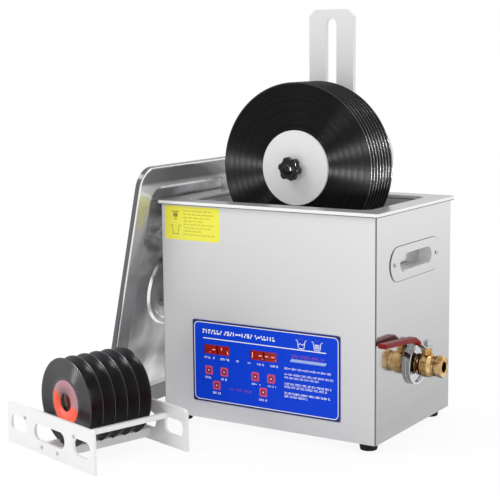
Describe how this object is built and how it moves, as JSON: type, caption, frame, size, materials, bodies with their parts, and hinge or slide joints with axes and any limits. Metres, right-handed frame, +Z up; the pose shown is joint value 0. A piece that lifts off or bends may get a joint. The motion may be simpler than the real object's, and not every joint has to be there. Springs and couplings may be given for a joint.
{
  "type": "record cleaning machine",
  "caption": "Ultrasonic tank in a steel casing with a motor-driven stack of records on a slotted mast, a drain valve, a loose lid and a rack of small records.",
  "frame": {"origin": "on the floor, under the middle of the casing's footprint", "axes": "+X to the casing's right, along the drain valve; +Y to the back; +Z up; the control panel faces -Y"},
  "size_m": [0.6448, 0.647, 0.74],
  "materials": {
    "brushed_casing": "satin",
    "polished_tank": "polished",
    "zinc_plate": "satin",
    "black_rubber": "matte",
    "blue_film": "satin",
    "red_filter": "gloss",
    "circuit_board": "matte",
    "bare_aluminium": "satin",
    "piezo_ceramic": "matte",
    "silicone_mat": "matte",
    "grey_plastic": "satin",
    "polished_steel": "polished",
    "brass": "polished",
    "black_plastic": "matte",
    "anodised_aluminium": "satin",
    "red_vinyl": "satin",
    "red_plastic": "gloss",
    "white_plastic": "satin",
    "nylon": "satin",
    "label_plate": "satin",
    "record_vinyl": "gloss",
    "knob_gloss": "gloss",
    "chrome_bow": "polished",
    "white_acrylic": "gloss",
    "key_cap": "satin"
  },
  "bodies": {
    "housing": {"casing": "brushed_casing", "tank": "polished_tank", "base_plate": "zinc_plate", "feet": "black_rubber", "panel_overlay": "blue_film", "display_windows": "red_filter", "control_board": "circuit_board", "generator_board": "circuit_board", "transducer_horns": "bare_aluminium", "transducer_piezos": "piezo_ceramic", "transducer_tails": "zinc_plate", "heater_pads": "silicone_mat", "handle_cups": "grey_plastic", "drain_pipe": "zinc_plate", "drain_flange": "polished_steel", "valve_body": "brass", "valve_end_piece": "brass", "power_inlet": "black_plastic", "switch_frame": "black_plastic", "fan_frame": "black_plastic", "mast": "anodised_aluminium", "mast_bracket": "polished_steel", "mast_pads": "black_rubber", "bracket_screws": "zinc_plate"},
    "valve_handle": {"valve_stem": "brass", "valve_ball": "polished_steel", "valve_lever": "zinc_plate", "lever_sleeve": "red_vinyl", "lever_nut": "zinc_plate"},
    "rocker": {"power_rocker": "red_plastic"},
    "fan": {"fan_rotor": "black_plastic"},
    "carriage": {"gearbox_front": "white_plastic", "gearbox_back": "white_plastic", "motor": "zinc_plate", "clamp_stud": "zinc_plate"},
    "lock": {"lock_knob": "black_plastic"},
    "pinion": {"motor_pinion": "brass"},
    "spindle": {"spindle_shaft": "polished_steel", "drive_gear": "nylon", "rear_plate": "label_plate", "front_plate": "label_plate", "records": "record_vinyl", "spacers": "white_plastic"},
    "clamp": {"star_knob": "knob_gloss"},
    "lid": {"lid_pan": "polished_tank", "lid_handle": "chrome_bow"},
    "rack": {"rack_ends": "white_acrylic", "rack_bars": "white_acrylic"},
    "single_1": {"single_1": "record_vinyl"},
    "single_2": {"single_2": "record_vinyl"},
    "single_3": {"single_3": "record_vinyl"},
    "single_4": {"single_4": "record_vinyl"},
    "single_5": {"single_5": "record_vinyl"},
    "single_6": {"single_6": "record_vinyl"},
    "key_temp_up": {"key_temp_up": "key_cap"},
    "key_temp_down": {"key_temp_down": "key_cap"},
    "key_heat": {"key_heat": "key_cap"},
    "key_time_up": {"key_time_up": "key_cap"},
    "key_time_down": {"key_time_down": "key_cap"},
    "key_start": {"key_start": "key_cap"}
  },
  "joints": [
    {"name": "valve_turn", "type": "hinge", "parent": "housing", "child": "valve_handle", "pos_m": [0.24, 0, 0.126], "axis": [0, 0, 1], "range_deg": [0, 90]},
    {"name": "power_switch", "type": "hinge", "parent": "housing", "child": "rocker", "pos_m": [0.158, 0.146, 0.07], "axis": [1, 0, 0], "range_deg": [0, 16]},
    {"name": "fan_spin", "type": "hinge", "parent": "housing", "child": "fan", "pos_m": [-0.12, 0.134, 0.096], "axis": [0, 1, 0], "continuous": true},
    {"name": "carriage_lift", "type": "slide", "parent": "housing", "child": "carriage", "axis": [0, 0, 1], "range_m": [-0.025, 0.225]},
    {"name": "lock_turn", "type": "hinge", "parent": "carriage", "child": "lock", "pos_m": [0, 0.1113, 0.462], "axis": [0, 1, 0], "range_deg": [0, 360]},
    {"name": "spindle_spin", "type": "hinge", "parent": "carriage", "child": "spindle", "pos_m": [0, 0, 0.462], "axis": [0, 1, 0], "continuous": true},
    {"name": "pinion_spin", "type": "hinge", "parent": "carriage", "child": "pinion", "pos_m": [0.058, 0.06, 0.47736], "axis": [0, 1, 0], "continuous": true},
    {"name": "clamp_turn", "type": "hinge", "parent": "spindle", "child": "clamp", "pos_m": [0, -0.054, 0.462], "axis": [0, 1, 0], "range_deg": [0, 720]},
    {"name": "press_temp_up", "type": "slide", "parent": "housing", "child": "key_temp_up", "axis": [0, 1, 0], "range_m": [0, 0.0005], "stiffness_N_per_m": 400},
    {"name": "press_temp_down", "type": "slide", "parent": "housing", "child": "key_temp_down", "axis": [0, 1, 0], "range_m": [0, 0.0005], "stiffness_N_per_m": 400},
    {"name": "press_heat", "type": "slide", "parent": "housing", "child": "key_heat", "axis": [0, 1, 0], "range_m": [0, 0.0005], "stiffness_N_per_m": 400},
    {"name": "press_time_up", "type": "slide", "parent": "housing", "child": "key_time_up", "axis": [0, 1, 0], "range_m": [0, 0.0005], "stiffness_N_per_m": 400},
    {"name": "press_time_down", "type": "slide", "parent": "housing", "child": "key_time_down", "axis": [0, 1, 0], "range_m": [0, 0.0005], "stiffness_N_per_m": 400},
    {"name": "press_start", "type": "slide", "parent": "housing", "child": "key_start", "axis": [0, 1, 0], "range_m": [0, 0.0005], "stiffness_N_per_m": 400},
    {"name": "lid_lift", "type": "slide", "parent": "housing", "child": "lid", "axis": [0, 0, 1], "range_m": [0, 0.1]},
    {"name": "rack_lift", "type": "slide", "parent": "housing", "child": "rack", "axis": [0, 0, 1], "range_m": [0, 0.1]},
    {"name": "single_lift_1", "type": "slide", "parent": "rack", "child": "single_1", "axis": [0, 0, 1], "range_m": [0, 0.08]},
    {"name": "single_lift_2", "type": "slide", "parent": "rack", "child": "single_2", "axis": [0, 0, 1], "range_m": [0, 0.08]},
    {"name": "single_lift_3", "type": "slide", "parent": "rack", "child": "single_3", "axis": [0, 0, 1], "range_m": [0, 0.08]},
    {"name": "single_lift_4", "type": "slide", "parent": "rack", "child": "single_4", "axis": [0, 0, 1], "range_m": [0, 0.08]},
    {"name": "single_lift_5", "type": "slide", "parent": "rack", "child": "single_5", "axis": [0, 0, 1], "range_m": [0, 0.08]},
    {"name": "single_lift_6", "type": "slide", "parent": "rack", "child": "single_6", "axis": [0, 0, 1], "range_m": [0, 0.08]}
  ],
  "couplings": [
    {"joint": "pinion_spin", "follows": "spindle_spin", "ratio": -4}
  ]
}
